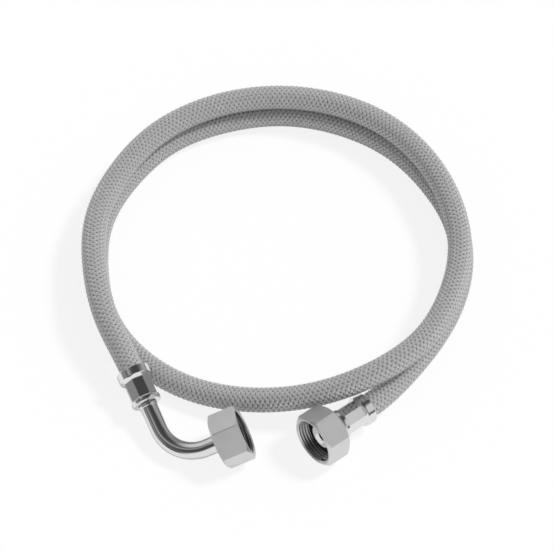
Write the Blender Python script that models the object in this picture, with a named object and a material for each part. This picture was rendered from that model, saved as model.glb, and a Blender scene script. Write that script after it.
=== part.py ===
"""Flexible water supply hose: a braided hose laid in a loose coil, with a straight and a bent union end.

Metres, +Z up. The hose and its fittings lie on the floor at z = 0. The origin is on the floor under the middle
of the two end fittings, which all lie on one side of the coil.

Each end is modelled in its own frame, with +X running out of the hose towards the mouth of the union nut:
hose mouth, ferrule, neck or bent tube, flange, washer, lip. The nuts turn about that same X axis.
"""

import math

import bmesh
import bpy
import numpy as np
from mathutils import Matrix, Vector

MM = 0.001
GAP = 0.3 * MM
WELD = 0.001 * MM
ROUND_STEPS = 24
SHARP_ANGLE = math.radians(30.0)

# Middle of the coil on the floor, in the object's own frame.
COIL_CENTRE = Vector((17.44, 102.17, 0.0)) * MM

# Hose: a braid over a rubber liner, both pinched inside the ferrules.
HOSE_RADIUS = 7.0 * MM
BRAID_WALL = 0.5 * MM
LAYER_CLEARANCE = 0.4 * MM
LINER_RADIUS = HOSE_RADIUS - BRAID_WALL - LAYER_CLEARANCE
LINER_WALL = 1.1 * MM
CRIMP_SQUEEZE = 0.9
HOSE_SPACING = 20.0 * MM
HOSE_RESOLUTION = 3
HOSE_SIDES = 2 * HOSE_RESOLUTION + 4
WAY_STEPS = 40

# Ferrule: a bell over the hose, an eight-sided crimp and a collar with an end wall, from the hose mouth at x = 0.
FERRULE_LENGTH = 21.5 * MM
BELL_LENGTH = 5.5 * MM
BELL_CLEARANCE = 1.0 * MM
BELL_BORE_RADIUS = HOSE_RADIUS + BELL_CLEARANCE
BELL_BORE_DEPTH = 4.0 * MM
STRAIGHT_BELL_RADIUS = BELL_BORE_RADIUS + 1.1 * MM
ELBOW_BELL_RADIUS = BELL_BORE_RADIUS + 1.6 * MM
BELL_SLOPE = 1.0 * MM
BELL_ROUNDING = 0.8 * MM
CRIMP_START = BELL_LENGTH + BELL_SLOPE
CRIMP_CLEARANCE = 0.35 * MM
CRIMP_BORE_RADIUS = HOSE_RADIUS * CRIMP_SQUEEZE + CRIMP_CLEARANCE
CRIMP_WALL = 0.7 * MM
CRIMP_FLAT_RADIUS = CRIMP_BORE_RADIUS + CRIMP_WALL
CRIMP_RIDGE_RADIUS = 1.075 * CRIMP_FLAT_RADIUS
CRIMP_SIDES = 8
RIDGE_TRIM = 0.02 * MM
COLLAR_LENGTH = 3.5 * MM
COLLAR_RISE = 0.4 * MM
COLLAR_RADIUS = CRIMP_RIDGE_RADIUS + 0.6 * MM
COLLAR_ROUNDING = 1.8 * MM
CRIMP_END = FERRULE_LENGTH - COLLAR_LENGTH
END_WALL = 2.0 * MM

# Tail and bent tube: a barbed spigot in the liner, then a plain neck.
SPIGOT_START = 2.0 * MM
BARB_COUNT = 5
BARB_SLOPE = 0.6 * MM
BARB_DEPTH = 0.2 * MM
SPIGOT_END = FERRULE_LENGTH - END_WALL - GAP
HOSE_END = SPIGOT_END - GAP
PINCHED_LINER_BORE = LINER_RADIUS * CRIMP_SQUEEZE * math.cos(math.pi / HOSE_SIDES) - LINER_WALL
BARB_RADIUS = PINCHED_LINER_BORE - GAP
BARB_ROOT_RADIUS = BARB_RADIUS - BARB_DEPTH
SPIGOT_WALL = 0.4 * MM
BORE_RADIUS = BARB_ROOT_RADIUS - SPIGOT_WALL
NECK_RADIUS = 5.0 * MM
BEAD_HEIGHT = 0.5 * MM
BEAD_LENGTH = 2.0 * MM
BEAD_SLOPE = 0.4 * MM
BEND_RADIUS = 22.0 * MM
BEND_STEPS = 10
STRAIGHT_NECK_SHOWING = 3.0 * MM
TUBE_BEFORE_BEND = 16.4 * MM
TUBE_AFTER_BEND = 6.7 * MM

# Union nut, from its back plane at x = 0, and the flange, washer and lip that lie inside it.
NUT_THREAD_CREST_RADIUS = 12.2 * MM
NUT_FLAT_WALL = 1.95 * MM
NUT_ACROSS_FLATS = 2.0 * (NUT_THREAD_CREST_RADIUS + NUT_FLAT_WALL)
NUT_ACROSS_CORNERS = 2.0 * NUT_ACROSS_FLATS / math.sqrt(3.0)
NUT_CORNER_RADIUS = NUT_ACROSS_CORNERS / 2.0 - 0.14 * MM
NUT_CHAMFER_RADIUS = NUT_ACROSS_FLATS / 2.0 - 0.05 * MM
NUT_CHAMFER = (NUT_CORNER_RADIUS - NUT_CHAMFER_RADIUS) * math.tan(math.radians(30.0))
HEXAGON_OVERRUN = 4.0 * MM
NUT_BACK_WALL = 2.5 * MM
NUT_RUNNING_CLEARANCE = 0.7 * MM
NUT_BACK_HOLE_RADIUS = NECK_RADIUS + NUT_RUNNING_CLEARANCE
NUT_LEAD_IN_STEP = 0.5 * MM
NUT_LEAD_IN_RADIUS = NUT_THREAD_CREST_RADIUS + 1.1 * MM
NUT_LEAD_IN_DEPTH = 1.5 * MM
STRAIGHT_NUT_LENGTH = 15.0 * MM
ELBOW_NUT_LENGTH = 16.5 * MM
FLANGE_RADIUS = NUT_THREAD_CREST_RADIUS - NUT_RUNNING_CLEARANCE
FLANGE_THICKNESS = 3.0 * MM
FLANGE_CLEARANCE = 0.4 * MM
LIP_RADIUS = 7.2 * MM
LIP_PROUD = 0.9 * MM
LIP_EDGE = 0.4 * MM
COUNTERSINK_DEPTH = 2.7 * MM
WASHER_OUTER_RADIUS = NUT_THREAD_CREST_RADIUS - 0.6 * MM
WASHER_INNER_RADIUS = LIP_RADIUS + GAP
WASHER_THICKNESS = 2.2 * MM
STRAIGHT_NUT_BACK = FERRULE_LENGTH + STRAIGHT_NECK_SHOWING

# Directions as (heading about +Z, tilt up), and each nut's roll about its own axis.
STRAIGHT_AXIS = (math.radians(-140.6), math.radians(6.47))
STRAIGHT_NUT_ROLL = math.radians(-55.7)
STRAIGHT_FERRULE_ROLL = math.radians(-7.0)
ELBOW_MOUTH_AXIS = (math.radians(15.9), math.radians(18.86))
ELBOW_NUT_ROLL = math.radians(-49.9)
ELBOW_HOSE_AXIS = (math.radians(-65.2), math.radians(-11.83))
ELBOW_FERRULE_ROLL = math.radians(6.0)

# Where the two nuts lie in plan, from the middle of the coil. Each rests on its lowest corner.
STRAIGHT_NUT_PLAN = (25.5 * MM, -115.4 * MM)
ELBOW_NUT_PLAN = (-25.1 * MM, -117.0 * MM)

# The hose's way from the elbow end to the straight end, from the middle of the coil, in millimetres.
HOSE_WAY = (
    (-96, -44, 23.7),
    (-104, -10, 25.3),
    (-104, 25, 23.6),
    (-92, 58, 21.9),
    (-71, 86, 21.5),
    (-41, 105, 21.4),
    (-7, 113, 21.4),
    (28, 110, 21.4),
    (60, 96, 21.4),
    (85, 71, 21.5),
    (100, 40, 21.6),
    (105, 5, 22.2),
    (98, -29, 24.7),
    (82, -60, 28.3),
    (55, -82, 28.8),
    (22, -92, 22.1),
    (-12, -91, 14),
    (-45, -82, 9),
    (-75, -63, 7.2),
    (-96, -35, 7.2),
    (-104, -1, 7.2),
    (-102, 34, 7.2),
    (-87, 65, 7.2),
    (-63, 91, 7.2),
    (-31, 106, 7.2),
    (3, 111, 7.2),
    (38, 104, 7.2),
    (68, 87, 7.2),
    (91, 60, 7.2),
    (105, 28, 7.2),
    (105, -7, 7.2),
    (93, -40, 8.2),
    (74, -69, 9.8),
)


def clear_scene():
    """Remove whatever objects the file holds."""
    for obj in list(bpy.data.objects):
        bpy.data.objects.remove(obj, do_unlink=True)


def make_material(name, colour, roughness, metallic):
    """Return a Principled material."""
    material = bpy.data.materials.new(name)
    material.use_nodes = True
    shader = material.node_tree.nodes["Principled BSDF"]
    shader.inputs["Base Color"].default_value = (*colour, 1.0)
    shader.inputs["Roughness"].default_value = roughness
    shader.inputs["Metallic"].default_value = metallic
    return material


def polished_chrome():
    """Bright plating on the union nuts."""
    return make_material("polished_chrome", (0.62, 0.63, 0.64), 0.16, 1.0)


def pressed_steel():
    """Plain bright steel of the crimped ferrules."""
    return make_material("pressed_steel", (0.55, 0.56, 0.57), 0.2, 1.0)


def plated_tube():
    """Plated metal of the tail and the bent tube."""
    return make_material("plated_tube", (0.58, 0.59, 0.6), 0.18, 1.0)


def braided_wire():
    """Dull silver of the woven wires."""
    return make_material("braided_wire", (0.42, 0.42, 0.43), 0.38, 0.9)


def liner_rubber():
    """Black rubber of the liner."""
    return make_material("liner_rubber", (0.02, 0.02, 0.02), 0.6, 0.0)


def washer_rubber():
    """Black rubber of the sealing washers."""
    return make_material("washer_rubber", (0.012, 0.012, 0.013), 0.55, 0.0)


def direction(heading, tilt):
    """Unit vector with a heading about +Z and a tilt above the floor."""
    level = math.cos(tilt)
    return Vector((level * math.cos(heading), level * math.sin(heading), math.sin(tilt)))


def end_frame(axis, roll=0.0):
    """Rotation whose X runs along axis, with Y level when the roll is zero."""
    level = Vector((0.0, 0.0, 1.0)).cross(axis).normalized()
    upright = axis.cross(level)
    side = math.cos(roll) * level + math.sin(roll) * upright
    top = axis.cross(side)
    return Matrix((axis, side, top)).transposed()


def make_empty(name, location, rotation, parent=None):
    """An empty that places one end's pieces."""
    empty = bpy.data.objects.new(name, None)
    empty.empty_display_size = 0.02
    empty.location = location
    empty.rotation_euler = rotation.to_euler()
    empty.parent = parent
    bpy.context.scene.collection.objects.link(empty)
    return empty


def place(obj, parent, x=0.0, roll=0.0):
    """Hang an object on an end's frame, x along it and turned about its axis."""
    obj.parent = parent
    obj.location = (x, 0.0, 0.0)
    obj.rotation_euler = (roll, 0.0, 0.0)


def add_profile(mesh, profile, closed):
    """Add a profile of (x, radius) points in the XZ plane, and return its vertices and edges."""
    verts = [mesh.verts.new((x, 0.0, radius)) for x, radius in profile]
    pairs = list(zip(verts, verts[1:]))
    if closed:
        pairs.append((verts[-1], verts[0]))
    edges = [mesh.edges.new(pair) for pair in pairs]
    return verts + edges


def turn(mesh, geometry):
    """Turn a profile once about X."""
    bmesh.ops.spin(
        mesh,
        geom=geometry,
        cent=(0.0, 0.0, 0.0),
        axis=(1.0, 0.0, 0.0),
        angle=math.tau,
        steps=ROUND_STEPS,
        use_merge=True,
    )


def mesh_object(name, mesh, material):
    """Turn a bmesh into a smooth-shaded object with sharp edges kept."""
    bmesh.ops.remove_doubles(mesh, verts=mesh.verts, dist=WELD)
    bmesh.ops.recalc_face_normals(mesh, faces=mesh.faces)
    data = bpy.data.meshes.new(name)
    mesh.to_mesh(data)
    mesh.free()
    data.shade_smooth()
    data.set_sharp_from_angle(angle=SHARP_ANGLE)
    data.materials.append(material)
    obj = bpy.data.objects.new(name, data)
    bpy.context.scene.collection.objects.link(obj)
    return obj


def turned_ring(name, profile, material):
    """A closed ring turned about X from a closed profile of (x, radius) points."""
    mesh = bmesh.new()
    turn(mesh, add_profile(mesh, profile, closed=True))
    return mesh_object(name, mesh, material)


def shape_with(obj, cutter, operation):
    """Cut or intersect an object with a wire-shown cutter."""
    cutter.hide_render = True
    cutter.display_type = "WIRE"
    modifier = obj.modifiers.new(operation.lower(), "BOOLEAN")
    modifier.operation = operation
    modifier.solver = "EXACT"
    modifier.object = cutter


def hexagon_cutter(name, length):
    """A six-sided bar along X, with a corner straight above the axis."""
    mesh = bmesh.new()
    along = Matrix.Translation((length / 2.0, 0.0, 0.0)) @ Matrix.Rotation(math.pi / 2.0, 4, "Y")
    corner_up = Matrix.Rotation(math.pi / 2.0, 4, "Z")
    bmesh.ops.create_cone(
        mesh,
        cap_ends=True,
        segments=6,
        radius1=NUT_ACROSS_CORNERS / 2.0,
        radius2=NUT_ACROSS_CORNERS / 2.0,
        depth=length + HEXAGON_OVERRUN,
        matrix=along @ corner_up,
    )
    data = bpy.data.meshes.new(name)
    mesh.to_mesh(data)
    mesh.free()
    cutter = bpy.data.objects.new(name, data)
    bpy.context.scene.collection.objects.link(cutter)
    return cutter


def nut_profile(length):
    """Section of a union nut: chamfers outside, back wall, bore and lead-in inside."""
    return (
        (0.0, NUT_BACK_HOLE_RADIUS),
        (0.0, NUT_CHAMFER_RADIUS),
        (NUT_CHAMFER, NUT_CORNER_RADIUS),
        (length - NUT_CHAMFER, NUT_CORNER_RADIUS),
        (length, NUT_CHAMFER_RADIUS),
        (length, NUT_LEAD_IN_RADIUS),
        (length - NUT_LEAD_IN_DEPTH, NUT_THREAD_CREST_RADIUS + NUT_LEAD_IN_STEP),
        (length - NUT_LEAD_IN_DEPTH, NUT_THREAD_CREST_RADIUS),
        (NUT_BACK_WALL, NUT_THREAD_CREST_RADIUS),
        (NUT_BACK_WALL, NUT_BACK_HOLE_RADIUS),
    )


def make_nut(name, length, parent, back, roll):
    """A union nut on its end's axis, with its origin on that axis."""
    nut = turned_ring(name, nut_profile(length), polished_chrome())
    cutter = hexagon_cutter(name + "_hexagon", length)
    shape_with(nut, cutter, "INTERSECT")
    place(nut, parent, back, roll)
    place(cutter, parent, back, roll)
    return nut


def seat_profile(back):
    """Outer section of the flange and lip from a nut's back plane, ending at the countersunk bore."""
    flange = back + NUT_BACK_WALL + FLANGE_CLEARANCE
    face = flange + FLANGE_THICKNESS
    tip = washer_face(back) + LIP_PROUD
    return (
        (flange, NECK_RADIUS),
        (flange, FLANGE_RADIUS),
        (face, FLANGE_RADIUS),
        (face, LIP_RADIUS),
        (tip, LIP_RADIUS),
        (tip, LIP_RADIUS - LIP_EDGE),
        (tip - COUNTERSINK_DEPTH, BORE_RADIUS),
    )


def washer_face(back):
    """Where the washer's front face lies, from the nut's back plane at back."""
    flange_face = back + NUT_BACK_WALL + FLANGE_CLEARANCE + FLANGE_THICKNESS
    return flange_face + GAP + WASHER_THICKNESS


def barb_profile():
    """Outer section of the barbed spigot, from its tip to the neck at the ferrule's end wall."""
    points = [(SPIGOT_START, BORE_RADIUS), (SPIGOT_START, BARB_ROOT_RADIUS)]
    pitch = (CRIMP_END - SPIGOT_START) / BARB_COUNT
    for index in range(BARB_COUNT):
        back = SPIGOT_START + (index + 1) * pitch
        points.append((back - BARB_SLOPE, BARB_RADIUS))
        points.append((back, BARB_ROOT_RADIUS))
    points.append((SPIGOT_END, BARB_ROOT_RADIUS))
    points.append((SPIGOT_END, NECK_RADIUS))
    return points


def make_tail(parent):
    """The straight end's turned tail: barbs, neck, flange and lip around the bore."""
    profile = barb_profile() + list(seat_profile(STRAIGHT_NUT_BACK))
    tail = turned_ring("straight_tail", profile, plated_tube())
    place(tail, parent)
    return tail


def make_bent_tube(parent, turn_angle, tangent):
    """The elbow end's barbed tube, bent towards the mouth, with its bead, flange and lip."""
    bend_start = FERRULE_LENGTH + TUBE_BEFORE_BEND
    bead = FERRULE_LENGTH + GAP
    hose_side = [(bend_start, BORE_RADIUS)] + barb_profile()
    hose_side += [
        (bead, NECK_RADIUS),
        (bead + BEAD_SLOPE, NECK_RADIUS + BEAD_HEIGHT),
        (bead + BEAD_LENGTH - BEAD_SLOPE, NECK_RADIUS + BEAD_HEIGHT),
        (bead + BEAD_LENGTH, NECK_RADIUS),
        (bend_start, NECK_RADIUS),
    ]
    mouth_side = [(tangent, NECK_RADIUS)] + list(seat_profile(tangent + TUBE_AFTER_BEND))
    mouth_side.append((tangent, BORE_RADIUS))
    mesh = bmesh.new()
    turn(mesh, add_profile(mesh, mouth_side, closed=False))
    to_mouth = Matrix.Translation((bend_start + tangent, 0.0, 0.0)) @ Matrix.Rotation(turn_angle, 4, "Z")
    bmesh.ops.transform(mesh, matrix=to_mouth, verts=mesh.verts)
    turn(mesh, add_profile(mesh, hose_side, closed=False))
    bmesh.ops.remove_doubles(mesh, verts=mesh.verts, dist=WELD)
    start = [vert for vert in mesh.verts if vert.is_boundary and abs(vert.co.x - bend_start) < WELD]
    start += [edge for edge in mesh.edges if edge.is_boundary and set(edge.verts) <= set(start)]
    bmesh.ops.spin(
        mesh,
        geom=start,
        cent=(bend_start, BEND_RADIUS, 0.0),
        axis=(0.0, 0.0, 1.0),
        angle=turn_angle,
        steps=BEND_STEPS,
    )
    tube = mesh_object("elbow_pipe", mesh, plated_tube())
    place(tube, parent)
    return tube


def ferrule_profile(bell_radius):
    """Section of a ferrule: bell, crimp, collar and end wall outside, stepped bore inside."""
    hole = NECK_RADIUS + GAP
    inner_end = FERRULE_LENGTH - END_WALL
    rounded_collar = [
        (
            FERRULE_LENGTH - COLLAR_ROUNDING * (1.0 - math.sin(angle)),
            COLLAR_RADIUS - COLLAR_ROUNDING * (1.0 - math.cos(angle)),
        )
        for angle in (0.0, math.radians(45.0), math.radians(90.0))
    ]
    outside = [
        (0.0, bell_radius - BELL_ROUNDING),
        (BELL_ROUNDING, bell_radius),
        (BELL_LENGTH - BELL_ROUNDING, bell_radius),
        (CRIMP_START, CRIMP_RIDGE_RADIUS),
        (CRIMP_END, CRIMP_RIDGE_RADIUS),
        (CRIMP_END + COLLAR_RISE, COLLAR_RADIUS),
    ]
    inside = [
        (FERRULE_LENGTH, hole),
        (inner_end, hole),
        (inner_end, CRIMP_BORE_RADIUS),
        (CRIMP_START + BELL_SLOPE / 2.0, CRIMP_BORE_RADIUS),
        (BELL_BORE_DEPTH, BELL_BORE_RADIUS),
        (0.0, BELL_BORE_RADIUS),
    ]
    return outside + rounded_collar + inside


def crimp_cutter(name):
    """Eight bars that press the flats between the crimp's ridges."""
    mesh = bmesh.new()
    half_flat = math.sqrt(CRIMP_RIDGE_RADIUS**2 - CRIMP_FLAT_RADIUS**2) + RIDGE_TRIM
    height = CRIMP_RIDGE_RADIUS / 2.0
    length = CRIMP_END - CRIMP_START
    for index in range(CRIMP_SIDES):
        size = Matrix.Diagonal((length, 2.0 * half_flat, height, 1.0))
        middle = Matrix.Translation(((CRIMP_START + CRIMP_END) / 2.0, 0.0, CRIMP_FLAT_RADIUS + height / 2.0))
        around = Matrix.Rotation(math.tau * (index + 0.5) / CRIMP_SIDES, 4, "X")
        bmesh.ops.create_cube(mesh, size=1.0, matrix=around @ middle @ size)
    data = bpy.data.meshes.new(name)
    mesh.to_mesh(data)
    mesh.free()
    cutter = bpy.data.objects.new(name, data)
    bpy.context.scene.collection.objects.link(cutter)
    return cutter


def make_ferrule(name, bell_radius, parent, roll):
    """A crimped ferrule around the hose's end, its ridges turned by roll."""
    ferrule = turned_ring(name, ferrule_profile(bell_radius), pressed_steel())
    cutter = crimp_cutter(name + "_flats")
    shape_with(ferrule, cutter, "DIFFERENCE")
    place(ferrule, parent, 0.0, roll)
    place(cutter, parent, 0.0, roll)
    return ferrule


def make_washer(name, parent, back):
    """A flat sealing washer around the lip."""
    face = washer_face(back)
    rear = face - WASHER_THICKNESS
    profile = (
        (rear, WASHER_INNER_RADIUS),
        (rear, WASHER_OUTER_RADIUS),
        (face, WASHER_OUTER_RADIUS),
        (face, WASHER_INNER_RADIUS),
    )
    washer = turned_ring(name, profile, washer_rubber())
    place(washer, parent)
    return washer


def smooth_way(points, start_direction, end_direction, spacing):
    """Points at even spacing along a clamped cubic spline through the given points."""
    spans = [(b - a).length for a, b in zip(points, points[1:])]
    count = len(points)
    matrix = np.zeros((count, count))
    target = np.zeros((count, 3))
    way = np.array([tuple(point) for point in points])
    slopes = np.diff(way, axis=0) / np.array(spans)[:, None]
    matrix[0, 0] = 1.0
    target[0] = tuple(start_direction)
    matrix[-1, -1] = 1.0
    target[-1] = tuple(end_direction)
    for index in range(1, count - 1):
        before = spans[index - 1]
        after = spans[index]
        matrix[index, index - 1 : index + 2] = (after, 2.0 * (before + after), before)
        target[index] = 3.0 * (after * slopes[index - 1] + before * slopes[index])
    tangents = np.linalg.solve(matrix, target)
    dense = []
    for index, span in enumerate(spans):
        for step in range(WAY_STEPS):
            t = step / WAY_STEPS
            start_weight = (1.0 + 2.0 * t) * (1.0 - t) ** 2
            end_weight = t * t * (3.0 - 2.0 * t)
            point = start_weight * way[index] + end_weight * way[index + 1]
            point = point + span * (t * (1.0 - t) ** 2 * tangents[index] - t * t * (1.0 - t) * tangents[index + 1])
            dense.append(point)
    dense.append(way[-1])
    dense = np.array(dense)
    lengths = np.concatenate(([0.0], np.cumsum(np.linalg.norm(np.diff(dense, axis=0), axis=1))))
    pieces = round(lengths[-1] / spacing)
    stations = np.linspace(0.0, lengths[-1], pieces + 1)
    even = [np.interp(stations, lengths, dense[:, axis]) for axis in range(3)]
    return [Vector(point) for point in zip(*even)]


def hose_stations(elbow_mouth, elbow_axis, straight_mouth, straight_axis):
    """Points and squeeze factors of the hose from inside one ferrule to inside the other."""
    shaped = [elbow_mouth] + [Vector(point) * MM for point in HOSE_WAY] + [straight_mouth]
    free = smooth_way(shaped, -elbow_axis, straight_axis, HOSE_SPACING)
    insides = ((HOSE_END, CRIMP_SQUEEZE), (CRIMP_START, CRIMP_SQUEEZE), (BELL_BORE_DEPTH - BELL_SLOPE, 1.0))
    stations = [(elbow_mouth + elbow_axis * depth, squeeze) for depth, squeeze in insides]
    stations += [(point, 1.0) for point in free]
    stations += [(straight_mouth + straight_axis * depth, squeeze) for depth, squeeze in reversed(insides)]
    return stations


def make_hose_layer(name, stations, radius, wall, material, parent):
    """One layer of the hose, a tube of the given outer radius and wall along the stations."""
    curve = bpy.data.curves.new(name, "CURVE")
    curve.dimensions = "3D"
    curve.bevel_depth = radius
    curve.bevel_resolution = HOSE_RESOLUTION
    curve.twist_mode = "MINIMUM"
    spline = curve.splines.new("POLY")
    spline.points.add(len(stations) - 1)
    for point, (place_at, squeeze) in zip(spline.points, stations):
        point.co = (*place_at, 1.0)
        point.radius = squeeze
    spline.use_smooth = True
    curve.materials.append(material)
    layer = bpy.data.objects.new(name, curve)
    bpy.context.scene.collection.objects.link(layer)
    layer.parent = parent
    solidify = layer.modifiers.new("wall", "SOLIDIFY")
    solidify.thickness = wall
    solidify.offset = -1.0
    return layer


def resting_height(axis, roll, length):
    """Height of a nut's middle when its lowest corner touches the floor."""
    frame = end_frame(axis, roll)
    lowest = 0.0
    for index in range(6):
        angle = math.pi / 2.0 + index * math.pi / 3.0
        for x in (NUT_CHAMFER - length / 2.0, length / 2.0 - NUT_CHAMFER):
            corner = Vector((x, NUT_CORNER_RADIUS * math.cos(angle), NUT_CORNER_RADIUS * math.sin(angle)))
            lowest = min(lowest, (frame @ corner).z)
    return -lowest


def build():
    """Model the hose and both of its ends."""
    clear_scene()
    coil = make_empty("coil", COIL_CENTRE, Matrix.Identity(3))

    straight_axis = direction(*STRAIGHT_AXIS)
    straight_height = resting_height(straight_axis, STRAIGHT_NUT_ROLL, STRAIGHT_NUT_LENGTH)
    straight_nut_middle = Vector((*STRAIGHT_NUT_PLAN, straight_height))
    straight_mouth = straight_nut_middle - straight_axis * (STRAIGHT_NUT_BACK + STRAIGHT_NUT_LENGTH / 2.0)
    straight_end = make_empty("straight_end", straight_mouth, end_frame(straight_axis), coil)
    make_nut("straight_nut", STRAIGHT_NUT_LENGTH, straight_end, STRAIGHT_NUT_BACK, STRAIGHT_NUT_ROLL)
    make_tail(straight_end)
    make_washer("straight_washer", straight_end, STRAIGHT_NUT_BACK)
    make_ferrule("straight_ferrule", STRAIGHT_BELL_RADIUS, straight_end, STRAIGHT_FERRULE_ROLL)

    mouth_axis = direction(*ELBOW_MOUTH_AXIS)
    hose_axis = direction(*ELBOW_HOSE_AXIS)
    elbow_height = resting_height(mouth_axis, ELBOW_NUT_ROLL, ELBOW_NUT_LENGTH)
    elbow_nut_middle = Vector((*ELBOW_NUT_PLAN, elbow_height))
    turn_angle = hose_axis.angle(mouth_axis)
    tangent = BEND_RADIUS * math.tan(turn_angle / 2.0)
    elbow_nut_back = tangent + TUBE_AFTER_BEND
    turn_point = elbow_nut_middle - mouth_axis * (elbow_nut_back + ELBOW_NUT_LENGTH / 2.0)
    elbow_mouth = turn_point - hose_axis * (FERRULE_LENGTH + TUBE_BEFORE_BEND + tangent)
    bend_axis = hose_axis.cross(mouth_axis).normalized()
    hose_frame = Matrix((hose_axis, bend_axis.cross(hose_axis), bend_axis)).transposed()
    elbow_hose_end = make_empty("elbow_hose_end", elbow_mouth, hose_frame, coil)
    elbow_nut_end = make_empty("elbow_nut_end", turn_point, end_frame(mouth_axis), coil)
    make_bent_tube(elbow_hose_end, turn_angle, tangent)
    make_ferrule("elbow_ferrule", ELBOW_BELL_RADIUS, elbow_hose_end, ELBOW_FERRULE_ROLL)
    make_nut("elbow_nut", ELBOW_NUT_LENGTH, elbow_nut_end, elbow_nut_back, ELBOW_NUT_ROLL)
    make_washer("elbow_washer", elbow_nut_end, elbow_nut_back)

    stations = hose_stations(elbow_mouth, hose_axis, straight_mouth, straight_axis)
    make_hose_layer("hose_braid", stations, HOSE_RADIUS, BRAID_WALL, braided_wire(), coil)
    make_hose_layer("inner_tube", stations, LINER_RADIUS, LINER_WALL, liner_rubber(), coil)
    bpy.context.view_layer.update()


build()
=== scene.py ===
"""Visual model of a flexible water supply hose laid in a loose coil.

Metres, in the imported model's frame: the floor is z = 0, and the origin is on the floor under the middle
of the two end fittings. Each end is modelled in its own frame, with +Z running out of the hose towards
the mouth of the union nut, and is then set in its place. The hose's route is the one of the construction
model.
"""

import logging
import math
from dataclasses import dataclass
from enum import Enum

import bpy
import numpy as np
from mathutils import Matrix, Vector


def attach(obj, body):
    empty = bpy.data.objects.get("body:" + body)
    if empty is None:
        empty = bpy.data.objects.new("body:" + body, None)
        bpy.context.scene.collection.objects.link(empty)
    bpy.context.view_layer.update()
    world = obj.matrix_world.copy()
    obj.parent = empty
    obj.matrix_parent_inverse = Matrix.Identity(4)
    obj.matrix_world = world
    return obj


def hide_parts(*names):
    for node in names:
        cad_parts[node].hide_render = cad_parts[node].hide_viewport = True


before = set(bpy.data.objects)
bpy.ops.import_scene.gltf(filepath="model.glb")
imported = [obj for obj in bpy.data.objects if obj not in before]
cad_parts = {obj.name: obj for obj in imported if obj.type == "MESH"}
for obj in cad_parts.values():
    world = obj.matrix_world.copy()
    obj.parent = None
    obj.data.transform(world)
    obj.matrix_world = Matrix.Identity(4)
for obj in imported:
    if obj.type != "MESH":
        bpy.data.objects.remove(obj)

log = logging.getLogger("hose")

MM = 0.001
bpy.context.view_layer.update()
COIL_CENTRE = Vector((17.44, 102.17, 0.0)) * MM
HOSE_BODY = "hose"
WEAVE_MAP = "weave"
SMOOTH_ANGLE = math.radians(32.0)
WHITE = (1.0, 1.0, 1.0, 1.0)

Colour = tuple[float, float, float, float]
Corner = tuple[float, float, float]


class Slot(Enum):
    """Material slots."""

    NUT = "nut_chrome"
    FERRULE = "ferrule_steel"
    TUBE = "tube_plating"
    BRAID = "braid_wire"
    LINER = "liner_rubber"
    WASHER = "washer_rubber"


class Socket:
    """A node's output whose arithmetic adds Math nodes."""

    def __init__(self, maker: "NodeMaker", socket: bpy.types.NodeSocket) -> None:
        """Keep the maker of new nodes and the wrapped socket."""
        self.maker = maker
        self.socket = socket

    def _math(self, operation: str, *values: "Socket | float") -> "Socket":
        """Return one Math node on one or two values."""
        return self.maker.node("ShaderNodeMath", {"operation": operation}, dict(enumerate(values)))

    def __add__(self, other: "Socket | float") -> "Socket":
        """Return self + other."""
        return self._math("ADD", self, other)

    def __sub__(self, other: "Socket | float") -> "Socket":
        """Return self - other."""
        return self._math("SUBTRACT", self, other)

    def __rsub__(self, other: float) -> "Socket":
        """Return other - self."""
        return self._math("SUBTRACT", other, self)

    def __mul__(self, other: "Socket | float") -> "Socket":
        """Return self * other."""
        return self._math("MULTIPLY", self, other)

    def sine(self) -> "Socket":
        """Return the sine of the value."""
        return self._math("SINE", self)

    def absolute(self) -> "Socket":
        """Return the absolute value."""
        return self._math("ABSOLUTE", self)

    def above(self, edge: float, soft: float) -> "Socket":
        """Return a ramp from 0 at edge to 1 at edge + soft."""
        limits = {1: edge, 2: edge + soft, 3: 0.0, 4: 1.0}
        return self.maker.node("ShaderNodeMapRange", {"clamp": True}, {0: self, **limits})

    def largest(self, other: "Socket | float") -> "Socket":
        """Return the larger of two values."""
        return self._math("MAXIMUM", self, other)


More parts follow.
